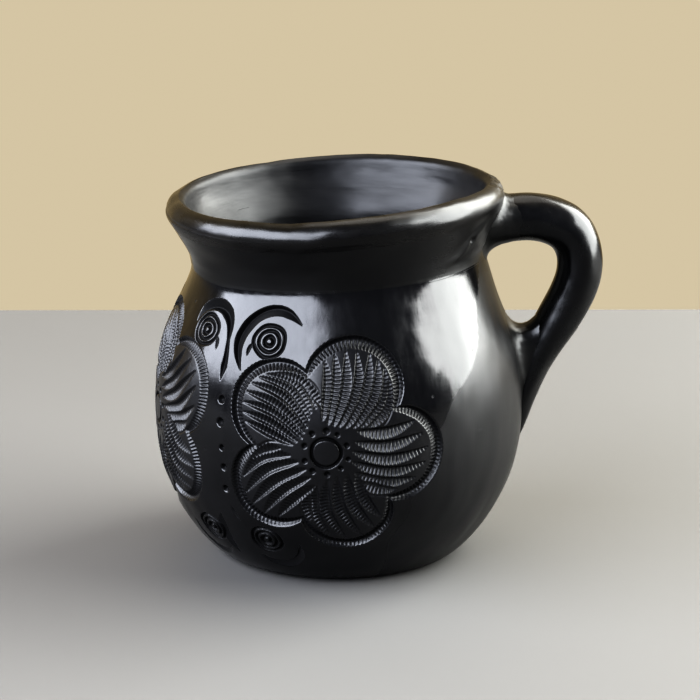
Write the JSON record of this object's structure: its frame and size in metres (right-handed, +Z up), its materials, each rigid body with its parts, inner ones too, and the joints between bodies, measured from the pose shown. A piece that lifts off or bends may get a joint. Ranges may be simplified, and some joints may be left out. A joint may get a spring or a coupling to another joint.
{
  "type": "clay mug",
  "caption": "Round-bellied burnished black clay mug with a leaning flared collar, a thick rounded lip, carved flowers and one coil handle.",
  "frame": {"origin": "centre of the flat resting face, on the axis of the bowl", "axes": "+Z up out of the mouth, +X through the handle, carved front towards -Y"},
  "size_m": [0.1156, 0.095, 0.0968],
  "materials": {
    "burnished_clay": "burnished to a soft grey-black metallic sheen, matte in the carved parts",
    "dried_slip": "smeared and half burnished"
  },
  "bodies": {
    "root": {"bowl_body": "burnished_clay", "neck_collar": "burnished_clay", "lip_coil": "burnished_clay", "handle_coil": "burnished_clay", "neck_seam_slip": "dried_slip", "handle_top_slip": "dried_slip", "handle_foot_slip": "dried_slip"}
  },
  "joints": []
}
